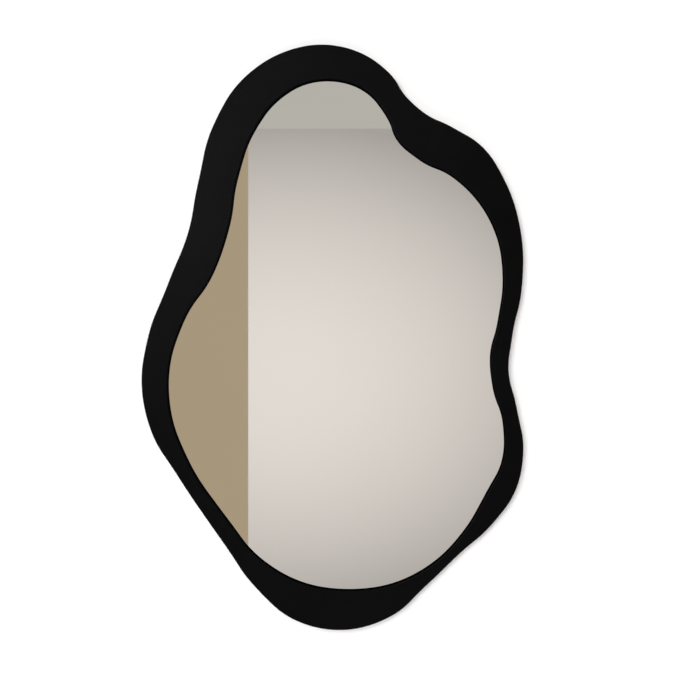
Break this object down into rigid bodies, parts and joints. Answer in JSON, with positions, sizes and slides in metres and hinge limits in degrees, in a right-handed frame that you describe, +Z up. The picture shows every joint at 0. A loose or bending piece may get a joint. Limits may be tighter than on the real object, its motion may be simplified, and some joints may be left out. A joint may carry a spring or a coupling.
{
  "type": "irregular shaped mirror",
  "caption": "Wavy, asymmetric wall mirror: a flat black ring frame of uneven width holds recessed mirror glass, closed by a back panel and hung on hinged rings.",
  "frame": {"origin": "on the wall plane, midway between the points where the two wall hooks carry the hanger rings", "axes": "+Z up, +Y away from the viewer into the wall, +X to the viewer's right; the mirror's face looks along -Y"},
  "size_m": [0.6, 0.029, 0.92],
  "materials": {
    "frame_lacquer": "fibreboard sprayed with black satin lacquer",
    "mirror": "silvered float glass, polished face",
    "black_foam": "black closed-cell glazing tape",
    "film": "grey safety film",
    "white_foam": "white double-sided foam tape",
    "fibreboard": "raw brown fibreboard",
    "screw_steel": "zinc-plated steel",
    "strap_steel": "bright zinc-plated sheet steel",
    "ring_steel": "bright zinc-plated steel wire",
    "bumper_rubber": "soft black rubber"
  },
  "bodies": {
    "mirror": {"frame": "frame_lacquer", "glazing_tape": "black_foam", "mirror_glass": "mirror", "safety_film": "film", "foam_strip_1": "white_foam", "foam_strip_2": "white_foam", "foam_strip_3": "white_foam", "foam_strip_4": "white_foam", "foam_strip_5": "white_foam", "back_panel": "fibreboard", "panel_screws": "screw_steel", "hanger_strap_left": "strap_steel", "hanger_strap_right": "strap_steel", "hanger_screws": "screw_steel", "bumper_top_left": "bumper_rubber", "bumper_top_right": "bumper_rubber", "bumper_bottom_left": "bumper_rubber", "bumper_bottom_right": "bumper_rubber"},
    "ring_left": {"hanger_ring_left": "ring_steel"},
    "ring_right": {"hanger_ring_right": "ring_steel"}
  },
  "joints": [
    {"name": "ring_left_swing", "type": "hinge", "parent": "mirror", "child": "ring_left", "pos_m": [-0.18618, -0.0034, -0.01598], "axis": [-1, 0, 0], "range_deg": [0, 175]},
    {"name": "ring_right_swing", "type": "hinge", "parent": "mirror", "child": "ring_right", "pos_m": [0.18618, -0.0034, -0.01598], "axis": [-1, 0, 0], "range_deg": [0, 175]}
  ]
}
